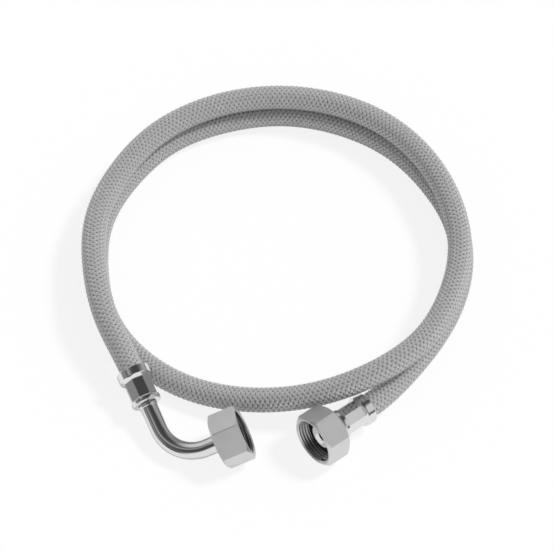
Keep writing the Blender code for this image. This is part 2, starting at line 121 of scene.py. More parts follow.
class NodeMaker:
    """Adds nodes to one node tree from settings and inputs."""

    def __init__(self, tree: bpy.types.NodeTree) -> None:
        """Keep the tree and clear it."""
        self.tree = tree
        tree.nodes.clear()

    def node(
        self,
        kind: str,
        settings: dict | None = None,
        inputs: dict | None = None,
        out: int | str = 0,
    ) -> Socket:
        """Add a node.

        Args:
            kind: The node's type.
            settings: Its properties, set before its inputs.
            inputs: Values or sockets by input name or index.
            out: The output to return.

        Returns:
            The chosen output, wrapped.
        """
        node = self.tree.nodes.new(kind)
        for name, value in (settings or {}).items():
            setattr(node, name, value)
        for name, value in (inputs or {}).items():
            self.join(value, node.inputs[name])
        return Socket(self, node.outputs[out]) if node.outputs else Socket(self, node.inputs[0])

    def join(self, value: "Socket | float | tuple", target: bpy.types.NodeSocket) -> None:
        """Link a wrapped socket to an input, or set the input's own value.

        Args:
            value: The wrapped socket, or the constant.
            target: The input that takes it.
        """
        if isinstance(value, Socket):
            self.tree.links.new(value.socket, target)
        else:
            target.default_value = value

    def object_place(self) -> Socket:
        """Return the Object coordinates."""
        return self.node("ShaderNodeTexCoord", out="Object")

    def ray(self, kind: str) -> Socket:
        """Return 1 on rays of one kind and 0 on all others."""
        return self.node("ShaderNodeLightPath", out=kind)

    def noise(self, place: Socket, scale: float, detail: float = 3.0, roughness: float = 0.5) -> Socket:
        """Return a noise value around 0.5."""
        inputs = {"Vector": place, "Scale": scale, "Detail": detail, "Roughness": roughness}
        return self.node("ShaderNodeTexNoise", inputs=inputs)

    def mix(self, factor: "Socket | float", first: "Socket | tuple", second: "Socket | tuple") -> Socket:
        """Return a mix of two colours."""
        settings = {"data_type": "RGBA"}
        return self.node("ShaderNodeMix", settings, {"Factor": factor, 6: first, 7: second}, out=2)

    def bump(self, height: Socket, strength: float, distance: float) -> Socket:
        """Return a normal bent by a height."""
        inputs = {"Strength": strength, "Distance": distance, "Height": height}
        return self.node("ShaderNodeBump", inputs=inputs)


def new_material(name: str) -> tuple[bpy.types.Material, NodeMaker]:
    """Make an empty node material.

    Args:
        name: The material's name.

    Returns:
        The material, and the maker of its nodes.
    """
    material = bpy.data.materials.new(name)
    material.use_nodes = True
    return material, NodeMaker(material.node_tree)


def grey(level: float, blue: float = 0.01) -> Colour:
    """Return a grey that leans a little to blue."""
    return (level, level, level + blue, 1.0)


def surface_output(maker: NodeMaker, inputs: dict) -> None:
    """Add a Principled shader with the given inputs and its output."""
    shader = maker.node("ShaderNodeBsdfPrincipled", inputs=inputs)
    maker.node("ShaderNodeOutputMaterial", inputs={"Surface": shader})


@dataclass(frozen=True)
class PlatedMetal:
    """Bright plated metal with faint drawing lines, smudges and fine scratches."""

    name: str
    colour: Colour
    tarnish: Colour
    roughness: float
    smudge: float
    grain: float
    metallic: float = 1.0

    def material(self) -> bpy.types.Material:
        """Make the finish's material.

        Returns:
            The new material.
        """
        material, maker = new_material(self.name)
        place = maker.object_place()
        cloud = maker.noise(place, scale=90.0, detail=4.0)
        smear = maker.noise(place, scale=420.0, roughness=0.6)
        fine = maker.noise(place, scale=2600.0, detail=2.0)
        dull = (cloud - 0.45) * 2.0
        inputs = {
            "Base Color": maker.mix(dull.above(0.0, 1.0) * 0.5, self.colour, self.tarnish),
            "Metallic": self.metallic,
            "Roughness": (cloud + smear * 0.5 - 0.75) * self.smudge + self.roughness,
            "Normal": maker.bump(fine + smear * 2.0, strength=self.grain, distance=0.02 * MM),
        }
        surface_output(maker, inputs)
        return material


@dataclass(frozen=True)
class MattRubber:
    """Black rubber with a fine matt grain."""

    name: str
    colour: Colour
    worn: Colour
    roughness: float

    def material(self) -> bpy.types.Material:
        """Make the finish's material.

        Returns:
            The new material.
        """
        material, maker = new_material(self.name)
        place = maker.object_place()
        grain = maker.noise(place, scale=1800.0)
        patch = maker.noise(place, scale=160.0)
        inputs = {
            "Base Color": maker.mix(patch.above(0.45, soft=0.2), self.colour, self.worn),
            "Roughness": patch * 0.15 + self.roughness,
            "Normal": maker.bump(grain, strength=0.25, distance=0.05 * MM),
        }
        surface_output(maker, inputs)
        return material


@dataclass(frozen=True)
class WovenWire:
    """Bundles of fine bright wires, ridged along the bundle, with painted shade between the wires and along
    each bundle's edges.
    """

    name: str
    wires: int
    bright: Colour
    # The painted shade of the grooves and bundle edges, also the colour of the random dark specks.
    groove_shade_and_speck: Colour
    roughness: float
    metallic: float

    def material(self) -> bpy.types.Material:
        """Make the finish's material.

        Returns:
            The new material.
        """
        material, maker = new_material(self.name)
        across_along = maker.node("ShaderNodeUVMap", {"uv_map": WEAVE_MAP})
        across = maker.node("ShaderNodeSeparateXYZ", inputs={0: across_along}, out="X")
        ridge = (across * (math.pi * self.wires)).sine().absolute()
        place = maker.object_place()
        cloud = maker.noise(place, scale=60.0)
        speck = maker.noise(place, scale=900.0, detail=2.0)
        # Painted shade: the grooves between the wires and the edges of each bundle take the darker colour.
        rim = (across * 2.0 - 1.0).absolute()
        lit = ridge.above(0.05, soft=0.45) * (1.0 - rim.above(0.55, soft=0.45))
        shade = maker.mix(lit, self.groove_shade_and_speck, self.bright)
        inputs = {
            "Base Color": maker.mix(speck.above(0.5, soft=0.25) * 0.35, shade, self.groove_shade_and_speck),
            "Metallic": self.metallic,
            "Roughness": cloud * 0.12 + (self.roughness - 0.06),
            "Normal": maker.bump(ridge, strength=0.6, distance=0.06 * MM),
        }
        surface_output(maker, inputs)
        return material


Finish = PlatedMetal | MattRubber | WovenWire


def select_only(obj: bpy.types.Object) -> None:
    """Make one object the only selected and active one.

    Args:
        obj: The object to select.
    """
    bpy.ops.object.select_all(action="DESELECT")
    obj.select_set(True)
    bpy.context.view_layer.objects.active = obj


def smooth(obj: bpy.types.Object, angle: float = SMOOTH_ANGLE) -> None:
    """Shade smooth, with edges sharper than the angle kept."""
    select_only(obj)
    bpy.ops.object.shade_smooth_by_angle(angle=angle)


def clean_surface() -> None:
    """Merge doubles and turn all normals outwards, in edit mode."""
    bpy.ops.mesh.select_all(action="SELECT")
    bpy.ops.mesh.remove_doubles(threshold=0.0005 * MM)
    bpy.ops.mesh.normals_make_consistent(inside=False)


@dataclass(frozen=True)
class Ring:
    """One circle of a turned piece: its place along the axis and its radius."""

    along: float
    radius: float


def turned(name: str, rings: list[Ring], sides: int, closed: bool) -> bpy.types.Object:
    """Turn a profile about +Z by extruding one circle from ring to ring.

    Args:
        name: The new object's name.
        rings: The profile.
        sides: Corners round each ring.
        closed: Whether the last ring joins the first one.

    Returns:
        The turned object, still in its end's own frame.
    """
    bpy.ops.object.select_all(action="DESELECT")
    first = rings[0]
    bpy.ops.mesh.primitive_circle_add(vertices=sides, radius=first.radius, location=(0.0, 0.0, first.along))
    obj = bpy.context.object
    obj.name = name
    bpy.ops.object.transform_apply(location=True, rotation=False, scale=False)
    bpy.ops.object.mode_set(mode="EDIT")
    bpy.ops.mesh.select_mode(type="EDGE")
    bpy.ops.mesh.select_all(action="SELECT")
    path = rings[1:] + ([first] if closed else [])
    last = first
    for ring in path:
        move = {"value": (0.0, 0.0, ring.along - last.along)}
        bpy.ops.mesh.extrude_edges_move(TRANSFORM_OT_translate=move)
        ratio = ring.radius / last.radius
        bpy.ops.transform.resize(value=(ratio, ratio, 1.0), center_override=(0.0, 0.0, ring.along))
        last = ring
    clean_surface()
    bpy.ops.object.mode_set(mode="OBJECT")
    return obj


def rounded(corners: list[Corner], steps: int = 4) -> list[Ring]:
    """Round a profile's corners.

    Args:
        corners: (along, radius, rounding) of each corner, a rounding of 0 keeping it sharp.
        steps: Rings on each rounded corner.

    Returns:
        The rings of the profile.
    """
    rings = []
    count = len(corners)
    for index, (along, radius, rounding) in enumerate(corners):
        here = Vector((along, radius))
        if rounding <= 0.0:
            rings.append(Ring(along, radius))
            continue
        before = Vector(corners[index - 1][:2])
        after = Vector(corners[(index + 1) % count][:2])
        enter = here + (before - here).normalized() * rounding
        leave = here + (after - here).normalized() * rounding
        for step in range(steps + 1):
            t = step / steps
            point = (1.0 - t) ** 2 * enter + 2.0 * t * (1.0 - t) * here + t * t * leave
            rings.append(Ring(point.x, point.y))
    return rings


def apply_modifiers(obj: bpy.types.Object) -> None:
    """Apply every modifier of an object in order.

    Args:
        obj: The object whose modifiers are applied.
    """
    select_only(obj)
    for modifier in list(obj.modifiers):
        bpy.ops.object.modifier_apply(modifier=modifier.name)


def cut(obj: bpy.types.Object, cutter: bpy.types.Object, operation: str) -> None:
    """Apply a Boolean with a cutter and remove the cutter.

    Args:
        obj: The object to shape.
        cutter: The solid it is cut or kept by.
        operation: The Boolean's operation.
    """
    modifier = obj.modifiers.new("cut", "BOOLEAN")
    modifier.operation = operation
    modifier.solver = "EXACT"
    modifier.object = cutter
    apply_modifiers(obj)
    bpy.data.objects.remove(cutter, do_unlink=True)


def soften(obj: bpy.types.Object, width: float, segments: int, angle: float) -> None:
    """Round the edges that are sharper than an angle.

    Args:
        obj: The object to bevel.
        width: The bevel's width.
        segments: Faces across each rounded edge.
        angle: The least angle between two faces whose edge is rounded.
    """
    bevel = obj.modifiers.new("soften", "BEVEL")
    bevel.width = width
    bevel.segments = segments
    bevel.limit_method = "ANGLE"
    bevel.angle_limit = angle
    bevel.use_clamp_overlap = True
    apply_modifiers(obj)


def keep_flats_flat(obj: bpy.types.Object) -> None:
    """Weigh the normals by face area, so that only the rounded edges shade round.

    Args:
        obj: The object to shade.
    """
    weighted = obj.modifiers.new("flat_faces", "WEIGHTED_NORMAL")
    weighted.mode = "FACE_AREA"
    weighted.weight = 100
    weighted.keep_sharp = True
    apply_modifiers(obj)


def join_pieces(first: bpy.types.Object, others: list[bpy.types.Object]) -> None:
    """Join other objects into the first one.

    Args:
        first: The object that stays.
        others: The objects that become part of it.
    """
    select_only(first)
    for other in others:
        other.select_set(True)
    bpy.ops.object.join()


@dataclass(frozen=True)
class EndFrame:
    """Where one end lies: its origin, and the directions of its X, Y and Z."""

    origin: Vector
    across: Vector
    up: Vector
    axis: Vector

    def matrix(self) -> Matrix:
        """Return the frame as a 4 x 4 matrix."""
        turn = Matrix((self.across, self.up, self.axis)).transposed().to_4x4()
        return Matrix.Translation(self.origin) @ turn

    def moved(self, along: float) -> "EndFrame":
        """Return the same frame further along its axis."""
        return EndFrame(self.origin + self.axis * along, self.across, self.up, self.axis)

    def rolled(self, roll: float) -> "EndFrame":
        """Return the same frame turned about its axis."""
        across = math.cos(roll) * self.across + math.sin(roll) * self.up
        return EndFrame(self.origin, across, self.axis.cross(across), self.axis)


def level_frame(origin: Vector, axis: Vector) -> EndFrame:
    """Return an end's frame whose X is level."""
    across = Vector((0.0, 0.0, 1.0)).cross(axis).normalized()
    return EndFrame(origin, across, axis.cross(across), axis)


def direction(heading: float, tilt: float) -> Vector:
    """Return the unit vector with a heading about +Z and a tilt above the floor."""
    level = math.cos(tilt)
    return Vector((level * math.cos(heading), level * math.sin(heading), math.sin(tilt)))


class Piece:
    """One finished piece: its object, its finish and the body it rides on."""

    def __init__(self, obj: bpy.types.Object, slot: Slot, finish: Finish, body: str = HOSE_BODY) -> None:
        """Give an object its finish and its body.

        Args:
            obj: The finished object.
            slot: Not used.
            finish: What makes its material.
            body: The body it rides on.
        """
        self.obj = obj
        obj.data.materials.clear()
        obj.data.materials.append(finish.material())
        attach(obj, body)
        log.info("made %s", obj.name)

    def replaces(self, *nodes: str) -> "Piece":
        """Show this piece in place of nodes of the construction model."""
        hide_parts(*nodes)
        return self

    def paint(self, faces: list[int], finish: Finish) -> "Piece":
        """Give some faces a second finish.

        Args:
            faces: The faces' indices.
            finish: Their finish.

        Returns:
            This piece.
        """
        self.obj.data.materials.append(finish.material())
        for index in faces:
            self.obj.data.polygons[index].material_index = 1
        return self


ELBOW_AXIS_IN = direction(math.radians(-65.2), math.radians(-11.83))
ELBOW_AXIS_OUT = direction(math.radians(15.9), math.radians(18.86))
STRAIGHT_AXIS = direction(math.radians(-140.6), math.radians(6.47))
ELBOW_MOUTH = Vector((-63.72, 27.78, 17.9)) * MM
STRAIGHT_MOUTH = Vector((67.51, 6.95, 13.15)) * MM
FLANGE_IN_NUT = 2.9 * MM


@dataclass
class UnionNut:
    """A swivelling hexagonal union nut with a female thread, its back plane at the frame's origin."""

    name: str
    body: str
    length: float
    across_flats: float = 28.3 * MM
    back_wall: float = 2.5 * MM
    back_hole: float = 5.7 * MM
    root_radius: float = 13.2 * MM
    crest_radius: float = 12.2 * MM
    mouth_radius: float = 13.3 * MM
    mouth_step: float = 0.7 * MM
    lead_in: float = 0.8 * MM
    corner_relief: float = 0.14 * MM
    face_relief: float = 0.05 * MM
    chamfer_slope: float = math.tan(math.radians(30.0))
    ridge_rounding: float = 0.45 * MM
    edge_rounding: float = 0.16 * MM
    pitch: float = 1.814 * MM
    thread_depth: float = 0.75 * MM
    thread_run_out: float = 1.6 * MM
    thread_gap: float = 0.4 * MM
    thread_steps: int = 72
    sides: int = 96

    def build(self, frame_at: EndFrame, finish: PlatedMetal) -> Piece:
        """Model the nut and set it in its place.

        Args:
            frame_at: The nut's back plane, with a corner of the hexagon along its Y.
            finish: The nut's plating.

        Returns:
            The finished nut.
        """
        obj = self._body()
        join_pieces(obj, [self._thread()])
        smooth(obj)
        keep_flats_flat(obj)
        inside = self._inside_faces(obj)
        obj.data.transform(frame_at.matrix())
        # The threaded bore takes a darker plating: painted shade inside the nut.
        return Piece(obj, Slot.NUT, finish, self.body).paint(inside, Finishes.thread)

    def _inside_faces(self, obj: bpy.types.Object) -> list[int]:
        """Find the faces of the threaded bore.

        Args:
            obj: The nut with its thread, in its own frame.

        Returns:
            The faces' indices.
        """
        found = []
        for face in obj.data.polygons:
            radius = math.hypot(face.center.x, face.center.y)
            deep = self.back_wall - 0.1 * MM < face.center.z < self.length - self.lead_in + 0.2 * MM
            if deep and radius < self.root_radius + 0.05 * MM:
                found.append(face.index)
        return found

    def _body(self) -> bpy.types.Object:
        """Turn the body and cut it to a hexagon.

        Returns:
            The nut without its thread.
        """
        corner_radius = self.across_flats / math.sqrt(3.0)
        corner = corner_radius - self.corner_relief
        face = self.across_flats / 2.0 - self.face_relief
        chamfer = (corner - face) * self.chamfer_slope
        length = self.length
        profile = rounded(
            [
                (0.0, self.back_hole, 0.25 * MM),
                (0.0, face, 0.0),
                (chamfer, corner, 0.0),
                (length - chamfer, corner, 0.0),
                (length, face, 0.0),
                (length, self.mouth_radius, 0.12 * MM),
                (length - self.lead_in, self.root_radius - self.mouth_step, 0.1 * MM),
                (length - self.lead_in, self.root_radius, 0.0),
                (self.back_wall, self.root_radius, 0.3 * MM),
                (self.back_wall, self.back_hole, 0.2 * MM),
            ],
            3,
        )
        body = turned(self.name + "_round", profile, self.sides, closed=True)
        bpy.ops.object.select_all(action="DESELECT")
        bpy.ops.mesh.primitive_cylinder_add(
            vertices=6, radius=corner_radius, depth=length + 4.0 * MM, location=(0.0, 0.0, length / 2.0)
        )
        hexagon = bpy.context.object
        soften(hexagon, self.ridge_rounding, segments=4, angle=math.radians(30.0))
        cut(body, hexagon, "INTERSECT")
        body.name = self.name + "_shell"
        soften(body, self.edge_rounding, segments=2, angle=math.radians(24.0))
        return body

    def _thread(self) -> bpy.types.Object:
        """Wind the helical ridge of the female thread, and close its ends.

        Returns:
            The ridge as an object of its own.
        """
        start = self.back_wall + self.thread_run_out
        turns = int((self.length - self.lead_in - start - self.thread_gap) / self.pitch)
        bpy.ops.object.select_all(action="DESELECT")
        bpy.ops.mesh.primitive_circle_add(
            vertices=4,
            radius=self.thread_depth,
            location=(self.crest_radius + self.thread_depth, 0.0, start),
            rotation=(math.pi / 2.0, 0.0, 0.0),
        )
        thread = bpy.context.object
        bpy.ops.object.transform_apply(location=True, rotation=True, scale=True)
        screw = thread.modifiers.new("thread", "SCREW")
        screw.axis = "Z"
        screw.screw_offset = self.pitch
        screw.iterations = turns
        screw.steps = self.thread_steps
        screw.render_steps = self.thread_steps
        apply_modifiers(thread)
        bpy.ops.object.mode_set(mode="EDIT")
        bpy.ops.mesh.select_mode(type="EDGE")
        bpy.ops.mesh.select_all(action="DESELECT")
        bpy.ops.mesh.select_non_manifold()
        bpy.ops.mesh.fill()
        clean_surface()
        bpy.ops.object.mode_set(mode="OBJECT")
        return thread


@dataclass
class CrimpedFerrule:
    """A ferrule with a bell over the hose, pressed flats and a rounded collar, from the hose's mouth on."""

    name: str
    bell_radius: float
    length: float = 21.5 * MM
    bell_length: float = 5.5 * MM
    crimp_start: float = 6.5 * MM
    flat_radius: float = 7.35 * MM
    ridge_radius: float = 7.95 * MM
    collar_length: float = 3.5 * MM
    collar_radius: float = 8.5 * MM
    end_wall: float = 2.0 * MM
    hole_radius: float = 5.3 * MM
    hose_bore: float = 6.65 * MM
    bell_bore: float = 8.0 * MM
    edge_rounding: float = 0.22 * MM
    jaw_height: float = 5.0 * MM
    end_slope: float = 0.8
    flats: int = 8
    sides: int = 96

    def build(self, frame_at: EndFrame, finish: PlatedMetal) -> Piece:
        """Model the ferrule and set it in its place.

        Args:
            frame_at: The hose's mouth, with a ridge of the crimp along its Y.
            finish: The ferrule's plating.

        Returns:
            The finished ferrule.
        """
        obj = turned(self.name + "_shell", self._profile(), self.sides, closed=True)
        cut(obj, self._jaws(), "DIFFERENCE")
        soften(obj, self.edge_rounding, segments=2, angle=math.radians(16.0))
        smooth(obj, math.radians(40.0))
        keep_flats_flat(obj)
        obj.data.transform(frame_at.matrix())
        return Piece(obj, Slot.FERRULE, finish)

    def _profile(self) -> list[Ring]:
        """Describe the section of the unpressed ferrule.

        Returns:
            The rings of the closed profile.
        """
        crimp_end = self.length - self.collar_length
        end_wall = self.length - self.end_wall
        return rounded(
            [
                (0.0, self.bell_radius, 0.75 * MM),
                (self.bell_length, self.bell_radius, 0.9 * MM),
                (self.crimp_start + 0.3 * MM, self.ridge_radius, 0.6 * MM),
                (crimp_end - 0.1 * MM, self.ridge_radius, 0.4 * MM),
                (crimp_end + 0.5 * MM, self.collar_radius, 0.3 * MM),
                (self.length, self.collar_radius, 1.7 * MM),
                (self.length, self.hole_radius, 0.25 * MM),
                (end_wall, self.hole_radius, 0.0),
                (end_wall, self.hose_bore, 0.0),
                (self.crimp_start + 0.5 * MM, self.hose_bore, 0.5 * MM),
                (self.bell_length - 1.5 * MM, self.bell_bore, 0.5 * MM),
                (0.0, self.bell_bore, 0.2 * MM),
            ],
            5,
        )

    def _jaws(self) -> bpy.types.Object:
        """Make the eight bars that press the flats, their ends sloping up to the bell and the collar.

        Returns:
            The bars as one object.
        """
        start = self.crimp_start + 0.2 * MM
        end = self.length - self.collar_length - 0.1 * MM
        width = 2.0 * math.sqrt(self.ridge_radius**2 - self.flat_radius**2)
        bars = []
        for index in range(self.flats):
            bpy.ops.object.select_all(action="DESELECT")
            middle = (0.0, self.flat_radius + self.jaw_height / 2.0, (start + end) / 2.0)
            bpy.ops.mesh.primitive_cube_add(size=1.0, location=middle)
            bar = bpy.context.object
            bar.scale = (width, self.jaw_height, end - start)
            bpy.ops.object.transform_apply(location=True, rotation=True, scale=True)
            self._flare(bar, end - start)
            bar.data.transform(Matrix.Rotation(math.tau * (index + 0.5) / self.flats, 4, "Z"))
            bars.append(bar)
        join_pieces(bars[0], bars[1:])
        return bars[0]

    def _flare(self, bar: bpy.types.Object, length: float) -> None:
        """Make a bar's outer face longer, so that its ends slope.

        Args:
            bar: The bar, still above the ferrule's axis.
            length: The inner face's length.
        """
        select_only(bar)
        bpy.ops.object.mode_set(mode="EDIT")
        bpy.ops.mesh.select_mode(type="FACE")
        bpy.ops.mesh.select_all(action="DESELECT")
        bpy.ops.object.mode_set(mode="OBJECT")
        for face in bar.data.polygons:
            face.select = face.normal.y > 0.9
        bpy.ops.object.mode_set(mode="EDIT")
        longer = (length + 2.0 * self.jaw_height * self.end_slope) / length
        bpy.ops.transform.resize(value=(1.0, 1.0, longer))
        bpy.ops.object.mode_set(mode="OBJECT")


@dataclass(frozen=True)
class WaterWay:
    """What the tail and the bent tube share: the insert in the hose, the neck, and the seat in the nut."""

    bore_radius: float = 3.22 * MM
    insert_start: float = 2.0 * MM
    insert_radius: float = 3.8 * MM
    neck_start: float = 19.2 * MM
    neck_radius: float = 5.0 * MM
    flange_radius: float = 11.5 * MM
    flange_thickness: float = 3.0 * MM
    lip_length: float = 3.4 * MM
    lip_radius: float = 7.2 * MM
    lip_edge: float = 0.4 * MM
    countersink: float = 1.1 * MM

    def insert(self) -> list[Corner]:
        """Describe the section from the bore's start in the hose to the start of the neck.

        Returns:
            The corners as (along, radius, rounding).
        """
        return [
            (self.insert_start, self.bore_radius, 0.0),
            (self.insert_start, self.insert_radius, 0.15 * MM),
            (self.neck_start, self.insert_radius, 0.0),
            (self.neck_start, self.neck_radius, 0.15 * MM),
        ]

    def seat(self, flange: float) -> list[Corner]:
        """Describe the section from the neck over the flange and the countersunk lip to the bore.

        Args:
            flange: Where the flange's back lies along the axis.

        Returns:
            The corners as (along, radius, rounding).
        """
        face = flange + self.flange_thickness
        tip = face + self.lip_length
        return [
            (flange, self.neck_radius, 0.4 * MM),
            (flange, self.flange_radius, 0.2 * MM),
            (face, self.flange_radius, 0.2 * MM),
            (face, self.lip_radius, 0.0),
            (tip, self.lip_radius, 0.25 * MM),
            (tip, self.lip_radius - self.lip_edge, 0.15 * MM),
            (tip - self.countersink, self.bore_radius, 0.2 * MM),
        ]

    def bore_faces(self, obj: bpy.types.Object, place: Matrix, deepest: float) -> list[int]:
        """Find the faces of the straight bore behind the lip.

        Args:
            obj: The piece, in its own frame.
            place: Where the bore's own frame lies in the piece's frame.
            deepest: Only faces further out along the bore's axis count.

        Returns:
            The faces' indices.
        """
        back = place.inverted()
        found = []
        for face in obj.data.polygons:
            middle = back @ face.center
            if math.hypot(middle.x, middle.y) < self.bore_radius + 0.02 * MM and middle.z > deepest:
                found.append(face.index)
        return found


@dataclass
class StraightTail:
    """The straight end's turned tail: neck, flange and countersunk lip, from the hose's mouth on."""

    flange: float
    name: str = "straight_end_tail"
    way: WaterWay = WaterWay()
    sides: int = 72

    def build(self, frame_at: EndFrame, finish: PlatedMetal) -> Piece:
        """Model the tail and set it in its place.

        Args:
            frame_at: The hose's mouth.
            finish: The tail's plating.

        Returns:
            The finished tail.
        """
        profile = rounded(self.way.insert() + self.way.seat(self.flange), 3)
        obj = turned(self.name, profile, self.sides, closed=True)
        smooth(obj)
        inside = self.way.bore_faces(obj, Matrix.Identity(4), 0.0)
        obj.data.transform(frame_at.matrix())
        # The bore behind the lip is painted near black: painted shade.
        return Piece(obj, Slot.TUBE, finish).paint(inside, Finishes.bore)


@dataclass
class BentTube:
    """The elbow end's plated tube, from the hose's mouth round the bend to its flange and lip."""

    turn_angle: float
    name: str = "elbow_bent_tube"
    way: WaterWay = WaterWay()
    bead_start: float = 21.8 * MM
    bead_end: float = 23.8 * MM
    bead_radius: float = 5.5 * MM
    bend_start: float = 37.9 * MM
    bend_radius: float = 22.0 * MM
    after_bend: float = 6.7 * MM
    bend_steps: int = 28
    sides: int = 64

    def tangent(self) -> float:
        """Return the distance from either end of the bend to its corner."""
        return self.bend_radius * math.tan(self.turn_angle / 2.0)

    def build(self, frame_at: EndFrame, finish: PlatedMetal) -> Piece:
        """Model the tube, which bends towards the frame's X, and set it in its place.

        Args:
            frame_at: The hose's mouth, with the bend's axis along its Y.
            finish: The tube's plating.

        Returns:
            The finished tube.
        """
        hose_side = turned(self.name, self._hose_side(), self.sides, closed=False)
        mouth_side = turned(self.name + "_mouth", self._mouth_side(), self.sides, closed=False)
        corner = self.bend_start + self.tangent()
        turn = Matrix.Translation((0.0, 0.0, corner)) @ Matrix.Rotation(self.turn_angle, 4, "Y")
        mouth_side.data.transform(turn)
        self._spin_bend(hose_side)
        join_pieces(hose_side, [mouth_side])
        select_only(hose_side)
        bpy.ops.object.mode_set(mode="EDIT")
        bpy.ops.mesh.select_all(action="SELECT")
        bpy.ops.mesh.remove_doubles(threshold=0.02 * MM)
        bpy.ops.mesh.normals_make_consistent(inside=False)
        bpy.ops.object.mode_set(mode="OBJECT")
        smooth(hose_side)
        inside = self.way.bore_faces(hose_side, turn, self.tangent())
        hose_side.data.transform(frame_at.matrix())
        # The bore behind the lip is painted near black: painted shade.
        return Piece(hose_side, Slot.TUBE, finish).paint(inside, Finishes.bore)

    def _hose_side(self) -> list[Ring]:
        """Describe the section from the bend's inner wall to the hose and out to the bend's outer wall.

        Returns:
            The rings of the open profile.
        """
        neck = self.way.neck_radius
        bead = [
            (self.bead_start, neck, 0.2 * MM),
            (self.bead_start + 0.3 * MM, self.bead_radius, 0.3 * MM),
            (self.bead_end - 0.5 * MM, self.bead_radius, 0.5 * MM),
            (self.bead_end, neck, 0.3 * MM),
        ]
        inner = (self.bend_start, self.way.bore_radius, 0.0)
        outer = (self.bend_start, neck, 0.0)
        return rounded([inner, *self.way.insert(), *bead, outer], 4)

    def _mouth_side(self) -> list[Ring]:
        """Describe the section from the bend's outer wall to the lip and back along the bore.

        Returns:
            The rings of the open profile.
        """
        tangent = self.tangent()
        outer = (tangent, self.way.neck_radius, 0.0)
        inner = (tangent, self.way.bore_radius, 0.0)
        flange = tangent + self.after_bend + FLANGE_IN_NUT
        return rounded([outer, *self.way.seat(flange), inner], 3)

    def _spin_bend(self, tube: bpy.types.Object) -> None:
        """Spin the two open rings at the bend's start round to its end.

        Args:
            tube: The turned hose side of the tube.
        """
        select_only(tube)
        bpy.ops.object.mode_set(mode="EDIT")
        bpy.ops.mesh.select_mode(type="VERT")
        bpy.ops.mesh.select_all(action="DESELECT")
        bpy.ops.object.mode_set(mode="OBJECT")
        for vert in tube.data.vertices:
            vert.select = abs(vert.co.z - self.bend_start) < 0.01 * MM
        bpy.ops.object.mode_set(mode="EDIT")
        bpy.ops.mesh.select_mode(type="EDGE")
        bpy.ops.mesh.spin(
            steps=self.bend_steps,
            angle=-self.turn_angle,
            center=(self.bend_radius, 0.0, self.bend_start),
            axis=(0.0, 1.0, 0.0),
        )
        bpy.ops.object.mode_set(mode="OBJECT")


@dataclass
class FlatWasher:
    """A flat sealing washer round a lip, its front face at the frame's origin."""

    name: str
    outer_radius: float = 11.6 * MM
    inner_radius: float = 7.5 * MM
    thickness: float = 2.2 * MM
    sides: int = 96

    def build(self, frame_at: EndFrame, finish: MattRubber) -> Piece:
        """Model the washer and set it in its place.

        Args:
            frame_at: The middle of the washer's front face.
            finish: The washer's rubber.

        Returns:
            The finished washer.
        """
        corners = [
            (-self.thickness, self.inner_radius, 0.2 * MM),
            (-self.thickness, self.outer_radius, 0.3 * MM),
            (0.0, self.outer_radius, 0.3 * MM),
            (0.0, self.inner_radius, 0.2 * MM),
        ]
        obj = turned(self.name, rounded(corners, 3), self.sides, closed=True)
        smooth(obj)
        obj.data.transform(frame_at.matrix())
        return Piece(obj, Slot.WASHER, finish)


HOSE_WAY = (
    (-96, -44, 23.7),
    (-104, -10, 25.3),
    (-104, 25, 23.6),
    (-92, 58, 21.9),
    (-71, 86, 21.5),
    (-41, 105, 21.4),
    (-7, 113, 21.4),
    (28, 110, 21.4),
    (60, 96, 21.4),
    (85, 71, 21.5),
    (100, 40, 21.6),
    (105, 5, 22.2),
    (98, -29, 24.7),
    (82, -60, 28.3),
    (55, -82, 28.8),
    (22, -92, 22.1),
    (-12, -91, 14),
    (-45, -82, 9),
    (-75, -63, 7.2),
    (-96, -35, 7.2),
    (-104, -1, 7.2),
    (-102, 34, 7.2),
    (-87, 65, 7.2),
    (-63, 91, 7.2),
    (-31, 106, 7.2),
    (3, 111, 7.2),
    (38, 104, 7.2),
    (68, 87, 7.2),
    (91, 60, 7.2),
    (105, 28, 7.2),
    (105, -7, 7.2),
    (93, -40, 8.2),
    (74, -69, 9.8),
)


